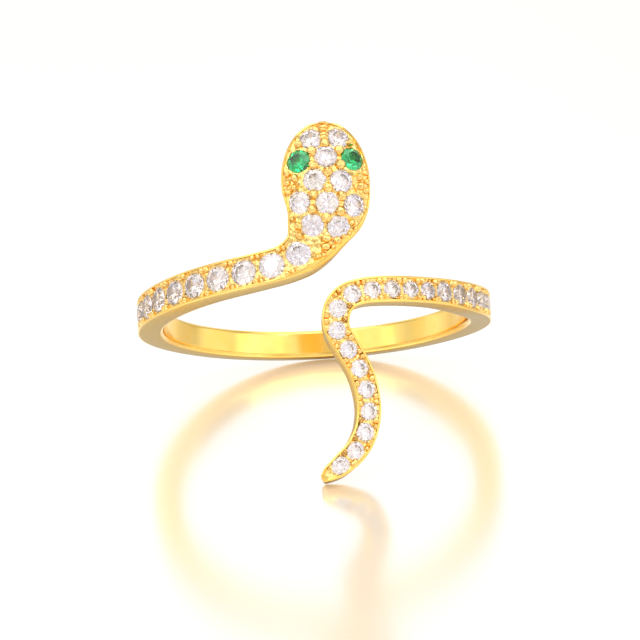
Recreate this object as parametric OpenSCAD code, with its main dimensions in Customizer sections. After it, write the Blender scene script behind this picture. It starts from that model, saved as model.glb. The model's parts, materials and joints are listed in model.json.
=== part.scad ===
// Snake wrap ring: one cast band that wraps the finger once, with the head
// at one end and the tail at the other, and round stones set along its front.
//
// The ring is worked out on the unrolled face of the finger cylinder. There
// "aside" runs round the finger (0 at the front, plus to the right) and "up"
// runs along the finger, towards the head. Lengths are in millimetres.

/* [Finger hole] */
// Inside diameter of the band
bore_d = 17.3; // [15.5:0.1:20]
// Bevel along both edges of the finger hole
bore_bevel = 0.12; // [0.05:0.01:0.2]
// How far the inner faces of the head and the tail are eased off the finger
end_ease = 0.2; // [0.16:0.01:0.28]
// Width over which that easing sets in, beside the shank's inner face
ease_w = 0.4; // [0.2:0.05:0.8]

/* [Band] */
// Width of the plain shank at the back of the finger
shank_w = 1.6; // [1.3:0.05:2.2]
// Thickness of the plain shank at the back of the finger
shank_t = 1; // [0.9:0.05:1.4]
// Metal thickness where the band carries stones
front_t = 1.5; // [1.35:0.05:1.9]
// Metal thickness at the end of the tail
tail_t = 1.1; // [1:0.05:1.3]
// Rounding of the outer edges
edge_bevel = 0.07; // [0.03:0.01:0.1]

/* [Head] */
// How far the middle of the head lies to the right of the front
head_side = 1.05; // [0.6:0.05:1.6]
// Height of the lowest row of head stones above the middle of the shank
neck_h = 2.54; // [2.3:0.02:3]
// Metal between the outer head stones and the edge of the head
head_margin = 0.4; // [0.35:0.01:0.6]
// Metal between the top row of head stones and the tip of the nose
nose_margin = 0.35; // [0.3:0.01:0.6]
// How far the middle of the head is domed above its edge
head_dome = 0.65; // [0.3:0.05:0.9]
// Bare metal between the neck line and the first stone of the left arm
neck_gap = 0.26; // [0.2:0.01:0.5]

/* [Right arm and tail] */
// How far the right arm has dropped where the turn begins
right_dip = 0.93; // [0.7:0.01:1.1]
// How far below the middle of the shank the tip of the tail reaches
tail_drop = 11.5; // [10:0.1:14]
// How far to the right of the tip the tail bends
tail_sway = 2.8; // [2.4:0.05:3.2]
// Bare metal from the tip of the tail to the middle of its last stone
tail_end = 1.32; // [1.2:0.05:1.8]

/* [Stones] */
// Diameter of the clear stones in the head
head_stone_d = 1.28; // [1.15:0.01:1.35]
// Diameter of the two green eyes
eye_d = 1.34; // [1.2:0.01:1.36]
// Diameter of the stones along the left arm
left_stone_d = 1.45; // [1.2:0.01:1.6]
// Diameter of the larger stones at the side of the right arm
right_stone_d = 1.25; // [1.05:0.01:1.4]
// Diameter of the stones from the right arm's front down to the tail
tail_stone_d = 1.05; // [0.9:0.01:1.2]
// Gap between neighbouring head stones in a row
head_gap = 0.18; // [0.16:0.01:0.3]
// Gap between neighbouring rows of head stones
head_row_gap = 0.18; // [0.16:0.01:0.3]
// Gap between the stones of the left arm
left_gap = 0.23; // [0.18:0.01:0.3]
// Gap between the stones of the right arm and the tail
tail_gap = 0.16; // [0.14:0.01:0.25]

/* [Setting] */
// Width of the raised rim along both edges of the set front
rim_w = 0.13; // [0.1:0.01:0.18]
// Height of the rim above the floor that the stones are sunk into
rim_h = 0.14; // [0.08:0.01:0.2]
// Floor between the arm stones and the rim
stone_margin = 0.07; // [0.05:0.01:0.12]
// How far a stone's girdle is sunk below the floor
girdle_sink = 0.05; // [0.03:0.01:0.1]
// Clearance between a stone and its seat
seat_gap = 0.03; // [0.02:0.005:0.04]
// Diameter of the beads that hold the arm and tail stones
bead_d = 0.3; // [0.24:0.01:0.34]
// Diameter of the beads that hold the head stones
head_bead_d = 0.42; // [0.3:0.01:0.46]
// Height of the beads above the floor
bead_h = 0.24; // [0.18:0.01:0.28]

/* [Resting] */
// How far round from the very back the shank touches the table (degrees)
rest_turn = 3.5; // [-8:0.5:12]

/* [Hidden] */
LEFT_STONES = 9;
RIGHT_STONES = 5;
TAIL_STONES = 14;
HEAD_STONES = 10;

bore_r = bore_d / 2;
face_r = bore_r + front_t;
half_turn = PI * face_r;
left_w = left_stone_d + 2 * (stone_margin + rim_w);
right_w = right_stone_d + 2 * (stone_margin + rim_w);
tail_w = tail_stone_d + 2 * (stone_margin + rim_w);

// Brilliant cut, as shares of the stone's diameter
TABLE_SHARE = 0.57;
CROWN_SHARE = 0.15;
GIRDLE_SHARE = 0.03;
PAVILION_SHARE = 0.42;

// Head: five rows of stones, two and three in turn, on a hexagonal grid
head_pitch = head_stone_d + head_gap;
head_row = sqrt(pow(head_stone_d + head_row_gap, 2) - pow(head_pitch / 2, 2));
head_w = 3 * head_stone_d + 2 * head_gap + 2 * head_margin;
head_top = neck_h + 4 * head_row + head_stone_d / 2 + nose_margin;

// Widest place of the head, as a share of the height of its top
HEAD_WIDEST = 0.605;
NOSE_STEPS = 9;

// Neck: [aside of the head's middle, up, width] as shares of
// [head width, head top, head width]
NECK = [
    [0.000, 0.512, 0.985],
    [-0.016, 0.448, 0.955],
    [-0.053, 0.378, 0.885],
    [-0.120, 0.293, 0.730],
    [-0.200, 0.215, 0.610],
    [-0.300, 0.151, 0.490],
    [-0.436, 0.105, 0.410],
    [-0.576, 0.079, 0.378]
];
NECK_LINE = 4;

// Left arm: [share of the way from neck to back, share of the neck's height,
// share of the change from arm width to shank width, the same for thickness]
LEFT_ARM = [
    [0.040, 0.74, 0.00, 0.00],
    [0.086, 0.55, 0.00, 0.00],
    [0.180, 0.32, 0.00, 0.00],
    [0.290, 0.11, 0.00, 0.00],
    [0.405, 0.06, 0.05, 0.00],
    [0.520, 0.03, 0.40, 0.06],
    [0.700, 0.00, 0.90, 0.60],
    [1.000, 0.00, 1.00, 1.00]
];

// Right arm: [share of the way from back to turn, share of right_dip,
// share of the change from shank width to arm width, thickness, share of the
// change from arm width to tail width]
RIGHT_ARM = [
    [0.280, 0.02, 0.10, 0.35, 0.0],
    [0.457, 0.10, 0.60, 0.95, 0.0],
    [0.600, 0.34, 1.00, 1.00, 0.0],
    [0.720, 0.62, 1.00, 1.00, 0.1],
    [0.860, 0.79, 1.00, 1.00, 0.9],
    [1.000, 1.00, 1.00, 1.00, 1.0]
];
TURN_SIDE = 1.264;

// Turn and tail: [aside as a share of tail_sway, share of the way down from
// right_dip to tail_drop, share of the tail width, share of the change from
// front_t to tail_t]
TAIL = [
    [0.840, 0.020, 1.00, 0.00],
    [0.625, 0.050, 1.04, 0.00],
    [0.490, 0.094, 1.07, 0.00],
    [0.428, 0.152, 1.06, 0.05],
    [0.450, 0.213, 1.02, 0.15],
    [0.660, 0.315, 1.00, 0.40],
    [0.877, 0.415, 1.00, 0.65],
    [1.012, 0.526, 1.00, 0.85],
    [1.046, 0.636, 0.99, 1.00],
    [0.952, 0.745, 0.96, 1.00],
    [0.734, 0.841, 0.92, 1.00],
    [0.400, 0.918, 0.82, 1.00],
    [0.150, 0.960, 0.58, 1.00],
    [0.005, 0.988, 0.26, 1.00]
];

// The nose is half an ellipse, taken in steps from its tip to the widest
// place of the head
widest_up = HEAD_WIDEST * head_top;
nose_rows = [
    for (i = [1 : NOSE_STEPS])
        let (around = 90 * i / NOSE_STEPS)
            [
                head_side,
                widest_up + (head_top - widest_up) * cos(around),
                head_w * sin(around),
                front_t
            ]
];

neck_rows = [
    for (row = NECK)
        [head_side + row[0] * head_w, row[1] * head_top, row[2] * head_w, front_t]
];

neck_end = neck_rows[len(neck_rows) - 1];
left_rows = [
    for (row = LEFT_ARM)
        [
            neck_end[0] - row[0] * (neck_end[0] + half_turn),
            row[1] * neck_end[1],
            left_w + row[2] * (shank_w - left_w),
            front_t + row[3] * (shank_t - front_t)
        ]
];

turn_start = TURN_SIDE * tail_sway - 2 * half_turn;
right_rows = [
    for (row = RIGHT_ARM)
        [
            -half_turn + row[0] * (turn_start + half_turn),
            -row[1] * right_dip,
            shank_w + row[2] * (right_w - shank_w) + row[4] * (tail_w - right_w),
            shank_t + row[3] * (front_t - shank_t)
        ]
];

tail_rows = [
    for (row = TAIL)
        [
            row[0] * tail_sway - 2 * half_turn,
            -right_dip - row[1] * (tail_drop - right_dip),
            row[2] * tail_w,
            front_t + row[3] * (tail_t - front_t)
        ]
];

// Each row of the route is [aside, up, width, thickness]
route = concat(nose_rows, neck_rows, left_rows, right_rows, tail_rows);

// Longest steps between two sections of the casting, in its bends and along
// its arms
BEND_STEP = 0.5;
ARM_STEP = 1;
first_arm_row = len(nose_rows) + len(neck_rows);
last_arm_row = first_arm_row + len(left_rows) + len(right_rows) - 2;

function place(row) = [row[0], row[1]];

function gap_between(a, b) = norm(place(b) - place(a));

// A row's slope: the change per millimetre between its two neighbours
function slope_at(i) =
    let (
        before = max(i - 1, 0),
        after = min(i + 1, len(route) - 1),
        travel = (i > 0 ? gap_between(route[i - 1], route[i]) : 0)
            + (i < len(route) - 1 ? gap_between(route[i], route[i + 1]) : 0)
    )
        (route[after] - route[before]) / travel;

// Smooth curve through two neighbouring rows, at share t of the way
function curve_at(i, t) =
    let (span = gap_between(route[i], route[i + 1]))
        (2 * t * t * t - 3 * t * t + 1) * route[i]
        + (t * t * t - 2 * t * t + t) * span * slope_at(i)
        + (3 * t * t - 2 * t * t * t) * route[i + 1]
        + (t * t * t - t * t) * span * slope_at(i + 1);

function steps_after(i) =
    let (step = i >= first_arm_row && i < last_arm_row ? ARM_STEP : BEND_STEP)
        max(1, round(gap_between(route[i], route[i + 1]) / step));

path = concat(
    [
        for (i = [0 : len(route) - 2])
            for (k = [0 : steps_after(i) - 1])
                curve_at(i, k / steps_after(i))
    ],
    [route[len(route) - 1]]
);

// Index in path of a row of the route
function path_index(row) = row == 0 ? 0 : path_index(row - 1) + steps_after(row - 1);

// Length along the path up to each of its sections
function running(i, so_far) =
    i == len(path) ? [] : concat([so_far], running(i + 1, i == len(path) - 1
        ? so_far
        : so_far + gap_between(path[i], path[i + 1])));
path_length = running(0, 0);
total_length = path_length[len(path) - 1];

// Last section at or before a length along the path
function section_before(s, i = 0) =
    i >= len(path) - 2 || path_length[i + 1] > s ? i : section_before(s, i + 1);

function row_at(s) =
    let (
        i = section_before(s),
        t = (s - path_length[i]) / (path_length[i + 1] - path_length[i])
    )
        path[i] * (1 - t) + path[i + 1] * t;

// Direction along the path, and square across it
function along(i) =
    let (
        before = place(path[max(i - 1, 0)]),
        after = place(path[min(i + 1, len(path) - 1)])
    )
        (after - before) / norm(after - before);

function across(i) = [-along(i)[1], along(i)[0]];

// The dome rises with the width of the head and dies out in the neck
function dome(row) = head_dome * pow(max(0, (row[2] - left_w) / (head_w - left_w)), 1.5);

// Height of the face above the finger hole, at a share of the half width
function face_h(row, share) = row[3] + dome(row) * (1 - share * share);

// A point of the unrolled face at height h, wrapped round the finger
function wrapped(aside, up, h) =
    let (turn = aside / face_r * 180 / PI)
        [(bore_r + h) * sin(turn), -(bore_r + h) * cos(turn), up];

// Square across the path at a length along it
function across_at(s) =
    let (
        i = section_before(s),
        t = (s - path_length[i]) / (path_length[i + 1] - path_length[i]),
        way = across(i) * (1 - t) + across(i + 1) * t
    )
        way / norm(way);

// Half the width over which the finger hole is true: the shank's inner face
true_up = shank_w / 2 - bore_bevel;

// How far the inner face is eased off the finger at a height along the finger
function eased(up) = end_ease * min(1, max(0, (abs(up) - true_up) / ease_w));

// A corner of a section; those along the finger hole follow its easing
function section_point(s, x, h, at_hole) =
    let (spot = place(row_at(s)) + x * across_at(s))
        wrapped(spot[0], spot[1], h + (at_hole ? eased(spot[1]) : 0));

// How far the casting is drawn inside the finger hole before it is bored
UNDER = 0.3;

// How far the inner side of a rim leans
RIM_LEAN = 0.02;

// How deep the floor between the rims is sunk at a length along the path:
// nothing on the plain shank, the nose and the tip of the tail
function floor_depth(s) =
    s < nose_floor_s || s > tail_floor_s || (s > left_floor_s && s < right_floor_s) ? 0 : rim_h;

// Half the width of the sunk floor: it follows the rims, and ends in a half
// circle round the last stone of each arm
function floor_half(row, s) =
    let (
        inner = row[2] / 2 - rim_w,
        past = max(0, s - left_s[LEFT_STONES - 1], right_s[0] - s),
        nose_t = min(0.99, (row[1] - widest_up) / (head_top - rim_w - widest_up))
    )
        floor_depth(s) == 0
            ? 0.6 * row[2] / 2
            : s > left_s[LEFT_STONES - 1] && s < right_s[0]
                ? max(0.03, inner * sqrt(max(0, 1 - pow(past / inner, 2))))
                : nose_t > 0
                    ? (head_w / 2 - rim_w) * sqrt(1 - nose_t * nose_t)
                    : inner;

// Corners of the section at a length along the path: [across, height]
function body_section(s) =
    let (
        row = row_at(s),
        half = row[2] / 2,
        bevel = min(bore_bevel, 0.4 * half),
        edge = min(edge_bevel, 0.3 * half, 0.6 * rim_w),
        under = min(UNDER, 0.4 * half),
        depth = floor_depth(s),
        outer = floor_half(row, s),
        inner = outer - (depth > 0 ? min(RIM_LEAN, 0.4 * outer) : 0.1 * half),
        share = inner / half
    )
        [
            [-half + bevel + under, -under],
            [-half, bevel],
            [-half, row[3] - edge],
            [-half + edge, face_h(row, 1)],
            [-outer, face_h(row, outer / half)],
            [-inner, face_h(row, share) - depth],
            [-inner / 2, face_h(row, share / 2) - depth],
            [0, face_h(row, 0) - depth],
            [inner / 2, face_h(row, share / 2) - depth],
            [inner, face_h(row, share) - depth],
            [outer, face_h(row, outer / half)],
            [half - edge, face_h(row, 1)],
            [half, row[3] - edge],
            [half, bevel],
            [half - bevel - under, -under]
        ];

// The solid through the sections at a list of lengths along the path
module swept(lengths) {
    rings = len(lengths);
    sections = [for (s = lengths) body_section(s)];
    n = len(sections[0]);
    points = [
        for (i = [0 : rings - 1])
            for (k = [0 : n - 1])
                section_point(
                    lengths[i], sections[i][k][0], sections[i][k][1], k < 2 || k > n - 3
                )
    ];
    walls = [
        for (i = [0 : rings - 2])
            for (k = [0 : n - 1])
                let (
                    a = i * n + k,
                    b = i * n + (k + 1) % n,
                    c = (i + 1) * n + (k + 1) % n,
                    d = (i + 1) * n + k
                )
                    each [[a, b, c], [a, c, d]]
    ];
    last = (rings - 1) * n;
    near_end = [for (k = [1 : n - 2]) [0, k + 1, k]];
    far_end = [for (k = [1 : n - 2]) [last, last + k, last + k + 1]];
    polyhedron(points = points, faces = concat(walls, near_end, far_end));
}

// Stone places: each is [aside, up, diameter]

first_left_s = path_length[path_index(NOSE_STEPS + NECK_LINE)] + neck_gap + left_stone_d / 2;
left_s = [for (i = [0 : LEFT_STONES - 1]) first_left_s + i * (left_stone_d + left_gap)];

tail_s = [
    for (i = [0 : TAIL_STONES - 1])
        total_length - tail_end - (TAIL_STONES - 1 - i) * (tail_stone_d + tail_gap)
];
right_s = [
    for (i = [0 : RIGHT_STONES - 1])
        tail_s[0] - (tail_stone_d + right_stone_d) / 2 - tail_gap
            - (RIGHT_STONES - 1 - i) * (right_stone_d + tail_gap)
];

function on_path(s, d) = [row_at(s)[0], row_at(s)[1], d];

left_places = [for (s = left_s) on_path(s, left_stone_d)];
right_places = [for (s = right_s) on_path(s, right_stone_d)];
tail_places = [for (s = tail_s) on_path(s, tail_stone_d)];

// The run of stones from the side of the right arm down to the tail
run_s = concat(right_s, tail_s);
run_places = concat(right_places, tail_places);

// Head rows from the neck up: [stones, shift to the left as a share of the
// pitch, fall to the right per millimetre, the row's own pitch as a share of
// the pitch]
HEAD_ROWS = [
    [2, 0.12, 0.11, 1.00],
    [3, 0.03, 0.08, 1.06],
    [2, -0.04, 0.06, 1.00],
    [3, 0.00, -0.02, 1.04],
    [2, -0.01, -0.01, 1.04]
];
// The stone between the eyes sits this share of a row above them
BROW = 0.13;

function head_place(row, i) =
    let (
        sideways = (i - (HEAD_ROWS[row][0] - 1) / 2) * head_pitch * HEAD_ROWS[row][3],
        lift = row == 3 && i == 1 ? BROW * head_row : 0
    )
        [
            head_side + sideways - HEAD_ROWS[row][1] * head_pitch,
            neck_h + row * head_row - HEAD_ROWS[row][2] * sideways + lift,
            row == 3 && i != 1 ? eye_d : head_stone_d
        ];

head_places = [
    for (row = [0 : len(HEAD_ROWS) - 1])
        for (i = [0 : HEAD_ROWS[row][0] - 1])
            if (row != 3 || i == 1)
                head_place(row, i)
];
left_eye_place = head_place(3, 0);
right_eye_place = head_place(3, 2);

head_end = path_index(NOSE_STEPS + len(NECK));

// The section of the head whose line across passes nearest to a place
function nearest(spot, i = 0, best = 0, miss = 1000) =
    i > head_end
        ? best
        : let (off = abs((spot - place(path[i])) * along(i)))
            nearest(spot, i + 1, off < miss ? i : best, min(off, miss));

// Height of the face at a place on the head, between its two nearest sections
function head_h(spot) =
    let (
        i = nearest(spot),
        off = (spot - place(path[i])) * along(i),
        j = off > 0 ? min(i + 1, head_end) : max(i - 1, 0),
        reach = abs((place(path[j]) - place(path[i])) * along(i)),
        t = reach > 0 ? min(1, abs(off) / reach) : 0,
        share_i = (spot - place(path[i])) * across(i) / (path[i][2] / 2),
        share_j = (spot - place(path[j])) * across(j) / (path[j][2] / 2)
    )
        face_h(path[i], share_i) * (1 - t) + face_h(path[j], share_j) * t;

// Distance over which the dome's slope is measured
SLOPE_STEP = 0.4;

function head_lean(spot) =
    [
        head_h(spot + [SLOPE_STEP, 0]) - head_h(spot - [SLOPE_STEP, 0]),
        head_h(spot + [0, SLOPE_STEP]) - head_h(spot - [0, SLOPE_STEP])
    ] / (2 * SLOPE_STEP);

// A frame that stands on the face: [height, lean aside, lean up]
function head_stand(spot) = [head_h(spot), head_lean(spot)[0], head_lean(spot)[1]];

function arm_stand(s) = [row_at(s)[3], 0, 0];

// Puts its children at a place, with +Z out of the metal along its normal
module stand_at(aside, up, stand, sink) {
    turn = aside / face_r * 180 / PI;
    out = [sin(turn), -cos(turn), 0];
    side = [cos(turn), sin(turn), 0];
    lean = out - stand[1] * side - stand[2] * [0, 0, 1];
    z = lean / norm(lean);
    flat = side - (side * z) * z;
    x = flat / norm(flat);
    y = cross(z, x);
    p = wrapped(aside, up, stand[0]) - sink * z;
    multmatrix([
        [x[0], y[0], z[0], p[0]],
        [x[1], y[1], z[1], p[1]],
        [x[2], y[2], z[2], p[2]],
        [0, 0, 0, 1]
    ])
        children();
}

// Round brilliant with its girdle's lower edge at z = 0: a table, 8 star,
// 8 kite and 16 upper girdle facets above, and 16 lower girdle and 8 main
// facets below
module brilliant(d) {
    r = d / 2;
    table_r = TABLE_SHARE * r;
    girdle = GIRDLE_SHARE * d;
    crown = CROWN_SHARE * d;
    pavilion = PAVILION_SHARE * d;
    star_r = 0.8 * r;
    lower_r = 0.24 * r;
    half_step = cos(22.5);
    star_z = girdle + crown * (r - star_r * half_step) / (r - table_r);
    lower_z = -pavilion * (1 - lower_r * half_step / r);
    points = concat(
        [for (k = [0 : 7]) [table_r * cos(45 * k), table_r * sin(45 * k), girdle + crown]],
        [for (k = [0 : 7]) [star_r * cos(45 * k + 22.5), star_r * sin(45 * k + 22.5), star_z]],
        [for (k = [0 : 15]) [r * cos(22.5 * k), r * sin(22.5 * k), girdle]],
        [for (k = [0 : 15]) [r * cos(22.5 * k), r * sin(22.5 * k), 0]],
        [for (k = [0 : 7]) [lower_r * cos(45 * k + 22.5), lower_r * sin(45 * k + 22.5), lower_z]],
        [[0, 0, -pavilion]]
    );
    star = 8;
    top = 16;
    low = 32;
    deep = 48;
    culet = 56;
    faces = concat(
        [for (k = [1 : 6]) [0, k, k + 1]],
        [
            for (k = [0 : 7])
                let (
                    next = (k + 1) % 8,
                    last = (k + 7) % 8,
                    g = 2 * k,
                    g1 = (2 * k + 1) % 16,
                    g2 = (2 * k + 2) % 16
                )
                    each [
                        [k, star + k, next],
                        [k, star + last, top + g],
                        [k, top + g, star + k],
                        [star + k, top + g, top + g1],
                        [star + k, top + g1, top + g2],
                        [deep + k, low + g1, low + g],
                        [deep + k, low + g2, low + g1],
                        [culet, low + g, deep + last],
                        [culet, deep + k, low + g]
                    ]
        ],
        [
            for (k = [0 : 15])
                let (next = (k + 1) % 16)
                    each [
                        [top + k, low + k, low + next],
                        [top + k, low + next, top + next]
                    ]
        ]
    );
    polyhedron(points = points, faces = [for (f = faces) [f[2], f[1], f[0]]]);
}

// The seat of a stone: the stone's own outline, larger by the seat's gap, so
// that a bead that leans over the stone is notched round its edge
SEAT_SIDES = 12;

module seat(d) {
    r = d / 2;
    grow = 1 / cos(180 / SEAT_SIDES);
    wide = (r + seat_gap) * grow;
    deep = PAVILION_SHARE * d + 1.5 * seat_gap;
    open_z = girdle_sink + seat_gap;
    crown_z = (GIRDLE_SHARE + CROWN_SHARE) * d + seat_gap;
    rotate_extrude($fn = SEAT_SIDES)
        polygon([
            [0, -deep],
            [wide, -seat_gap / 2],
            [wide, open_z],
            [(TABLE_SHARE * r + seat_gap) * grow, crown_z],
            [0, crown_z]
        ]);
}

BEAD_SIDES = 6;
// Width of a bead's top, as a share of its diameter
BEAD_TOP = 0.45;

// A raised bead, rooted below the floor
module bead(d) {
    root = 0.15;
    translate([0, 0, -root])
        cylinder(h = root + bead_h, d1 = 1.2 * d, d2 = BEAD_TOP * d, $fn = BEAD_SIDES);
}

// Sinks of the stones and the beads below the face
stone_sink = rim_h + girdle_sink;

module at_head(spot, sink) {
    stand_at(spot[0], spot[1], head_stand(place(spot)), sink)
        children();
}

module at_arm(spot, s, sink) {
    stand_at(spot[0], spot[1], arm_stand(s), sink)
        children();
}

// Four beads between two stones, a pair beside each rim. Where the inside of
// a bend leaves no room for a pair, one bead takes its place.
module bead_group(s, one, next) {
    i = section_before(s);
    middle = row_at(s);
    reach = middle[2] / 2 - rim_w - 0.42 * bead_d;
    spread = 0.5 * bead_d + 0.01;
    for (side = [-1, 1])
        for (shift = [-1, 1]) {
            pair = place(middle) + side * reach * across(i);
            nearer = shift < 0 ? one : next;
            room = norm(pair + shift * spread * along(i) - place(nearer));
            spot = pair + (room > (nearer[2] + 0.55 * bead_d) / 2 ? shift * spread : 0) * along(i);
            stand_at(spot[0], spot[1], arm_stand(s), rim_h)
                bead(bead_d);
        }
}

// Beads of the head, at the middle of each three stones that touch
function between(a, b, c) = (place(a) + place(b) + place(c)) / 3;

head_beads = [
    for (row = [0 : len(HEAD_ROWS) - 2])
        let (
            wide = HEAD_ROWS[row][0] == 3 ? row : row + 1,
            slim = HEAD_ROWS[row][0] == 3 ? row + 1 : row
        )
            each [
                between(head_place(wide, 0), head_place(wide, 1), head_place(slim, 0)),
                between(head_place(wide, 1), head_place(wide, 2), head_place(slim, 1)),
                between(head_place(wide, 1), head_place(slim, 0), head_place(slim, 1))
            ]
];

// Beads beside the rows of two: [row, aside of the row's middle as a share
// of the pitch, up as a share of the row's spacing, share of the diameter]
EDGE_BEADS = [
    [0, -1.03, 0.10, 0.75],
    [0, -0.98, -0.32, 0.75],
    [0, 1.00, 0.16, 0.75],
    [0, 0.02, -0.55, 0.85],
    [0, 0.45, -0.62, 0.75],
    [0, 0.05, -0.95, 0.75],
    [0, -0.34, -1.30, 0.7],
    [2, -1.22, 0.20, 0.75],
    [2, -1.25, -0.22, 0.75],
    [2, 1.22, 0.20, 0.75],
    [2, 1.25, -0.22, 0.75],
    [4, -1.02, -0.22, 0.75],
    [4, 1.02, -0.22, 0.75],
    [4, 0.00, 0.02, 0.90],
    [4, 0.00, 0.42, 0.80]
];

// Ends of the sunk floors along the path
nose_floor_s = 0.5 * rim_w;
tail_floor_s = total_length - 2 * rim_w;
left_floor_s = left_s[LEFT_STONES - 1] + left_w / 2 - rim_w;
right_floor_s = right_s[0] - (right_w / 2 - rim_w);

// Sections round the end of a floor, as shares of its half circle
ROUND_END = [0, 0.5, 0.8, 0.96];
END_STEP = 0.03;

left_round = [for (t = ROUND_END) left_s[LEFT_STONES - 1] + t * (left_floor_s - left_s[LEFT_STONES - 1])];
right_round = [for (t = ROUND_END) right_s[0] + t * (right_floor_s - right_s[0])];
section_s = concat(
    [for (s = path_length) if (s < left_round[0] - END_STEP) s],
    left_round,
    [left_floor_s + END_STEP],
    [for (s = path_length) if (s > left_floor_s + ARM_STEP / 2 && s < right_floor_s - ARM_STEP / 2) s],
    [right_floor_s - END_STEP],
    [for (i = [len(ROUND_END) - 1 : -1 : 0]) right_round[i]],
    [for (s = path_length) if (s > right_round[0] + END_STEP) s]
);

// The whole casting before the finger hole is bored
module casting() {
    difference() {
        union() {
            swept(section_s);
            for (i = [0 : LEFT_STONES - 2])
                bead_group((left_s[i] + left_s[i + 1]) / 2, left_places[i], left_places[i + 1]);
            for (i = [0 : len(run_s) - 2])
                bead_group((run_s[i] + run_s[i + 1]) / 2, run_places[i], run_places[i + 1]);
            for (spot = head_beads)
                at_head(spot, rim_h)
                    bead(head_bead_d);
            for (row = EDGE_BEADS)
                at_head(
                    [
                        head_place(row[0], 0)[0] + (row[1] + 0.5) * head_pitch,
                        neck_h + (row[0] + row[2]) * head_row
                    ],
                    rim_h
                )
                    bead(row[3] * head_bead_d);
        }
        for (i = [0 : LEFT_STONES - 1])
            at_arm(left_places[i], left_s[i], stone_sink)
                seat(left_stone_d);
        for (i = [0 : RIGHT_STONES - 1])
            at_arm(right_places[i], right_s[i], stone_sink)
                seat(right_stone_d);
        for (i = [0 : TAIL_STONES - 1])
            at_arm(tail_places[i], tail_s[i], stone_sink)
                seat(tail_stone_d);
        for (spot = concat(head_places, [left_eye_place, right_eye_place]))
            at_head(spot, stone_sink)
                seat(spot[2]);
    }
}

// Resting pose: the ring lies on the tip of its tail and on the lower rim of
// its shank. The table is the plane through the tip that touches that rim.
tip = section_point(total_length, path[len(path) - 1][2] / 2, bore_bevel, true);
back_s = path_length[path_index(first_arm_row + len(left_rows) - 1)];

function rim_touch(turn) =
    let (s = back_s + turn * PI / 180 * face_r)
        section_point(s, row_at(s)[2] / 2, row_at(s)[3] - edge_bevel, false);

RIM_STEP = 2;
rim_way = rim_touch(rest_turn + RIM_STEP) - rim_touch(rest_turn - RIM_STEP);
table_normal = cross(rim_way, tip - rim_touch(rest_turn));
table_up = table_normal * sign(table_normal[2]) / norm(table_normal);
table_back_raw = [0, 1, 0] - table_up[1] * table_up;
table_back = table_back_raw / norm(table_back_raw);
table_right = cross(table_back, table_up);

module at_rest() {
    multmatrix([
        [table_right[0], table_right[1], table_right[2], 0],
        [table_back[0], table_back[1], table_back[2], 0],
        [table_up[0], table_up[1], table_up[2], 0],
        [0, 0, 0, 1]
    ])
        children();
}

// How far the finger hole's drill runs past the ring
DRILL_OVER = 5;

// The finger hole is true over the width of the shank's inner face. Above and
// below that it widens a little, so that the head and the tail don't press.
module finger_hole() {
    top = head_top + DRILL_OVER;
    low = -tail_drop - DRILL_OVER;
    eased_r = bore_r + end_ease;
    rotate_extrude($fn = 180)
        polygon([
            [0, low],
            [eased_r, low],
            [eased_r, -true_up - ease_w],
            [bore_r, -true_up],
            [bore_r, true_up],
            [eased_r, true_up + ease_w],
            [eased_r, top],
            [0, top]
        ]);
}

module snake_band() {
    color("gold")
        at_rest()
            difference() {
                // Zeros keep the size: the casting is joined into one skin
                resize([0, 0, 0])
                    casting();
                finger_hole();
            }
}

module clear_stone_at(spot, stand) {
    color("white")
        at_rest()
            stand_at(spot[0], spot[1], stand, stone_sink)
                brilliant(spot[2]);
}

module head_stone(i) {
    clear_stone_at(head_places[i], head_stand(place(head_places[i])));
}

module left_stone(i) {
    clear_stone_at(left_places[i], arm_stand(left_s[i]));
}

module right_stone(i) {
    clear_stone_at(right_places[i], arm_stand(right_s[i]));
}

module tail_stone(i) {
    clear_stone_at(tail_places[i], arm_stand(tail_s[i]));
}

module eye(spot) {
    color("seagreen")
        at_rest()
            at_head(spot, stone_sink)
                brilliant(eye_d);
}

snake_band();
eye(left_eye_place);  // left_eye
eye(right_eye_place);  // right_eye
for (i = [1 : HEAD_STONES]) head_stone(i - 1);
for (i = [1 : LEFT_STONES]) left_stone(i - 1);
for (i = [1 : RIGHT_STONES]) right_stone(i - 1);
for (i = [1 : TAIL_STONES]) tail_stone(i - 1);
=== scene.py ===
import json
import math

import bmesh
import bpy
from mathutils import Matrix, Vector, noise


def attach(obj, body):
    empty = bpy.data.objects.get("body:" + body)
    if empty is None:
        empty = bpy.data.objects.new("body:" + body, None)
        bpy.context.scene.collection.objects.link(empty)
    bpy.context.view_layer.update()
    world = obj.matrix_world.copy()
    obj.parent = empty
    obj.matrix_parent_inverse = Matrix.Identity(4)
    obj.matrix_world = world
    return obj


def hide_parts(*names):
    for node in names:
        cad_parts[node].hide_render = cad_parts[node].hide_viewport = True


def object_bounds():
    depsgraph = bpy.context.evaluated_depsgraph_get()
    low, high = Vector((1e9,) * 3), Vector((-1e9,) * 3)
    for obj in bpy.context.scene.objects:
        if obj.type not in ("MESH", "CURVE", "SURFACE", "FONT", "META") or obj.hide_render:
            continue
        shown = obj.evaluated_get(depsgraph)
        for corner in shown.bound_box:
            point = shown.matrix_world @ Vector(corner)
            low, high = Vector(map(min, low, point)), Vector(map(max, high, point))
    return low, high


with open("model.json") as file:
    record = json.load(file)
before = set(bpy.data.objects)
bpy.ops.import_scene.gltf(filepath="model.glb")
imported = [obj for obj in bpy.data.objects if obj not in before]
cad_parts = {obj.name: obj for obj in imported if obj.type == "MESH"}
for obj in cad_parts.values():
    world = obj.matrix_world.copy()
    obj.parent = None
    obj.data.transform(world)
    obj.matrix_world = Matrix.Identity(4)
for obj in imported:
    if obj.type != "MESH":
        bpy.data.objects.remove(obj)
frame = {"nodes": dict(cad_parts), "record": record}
cad_low, cad_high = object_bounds()

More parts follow.
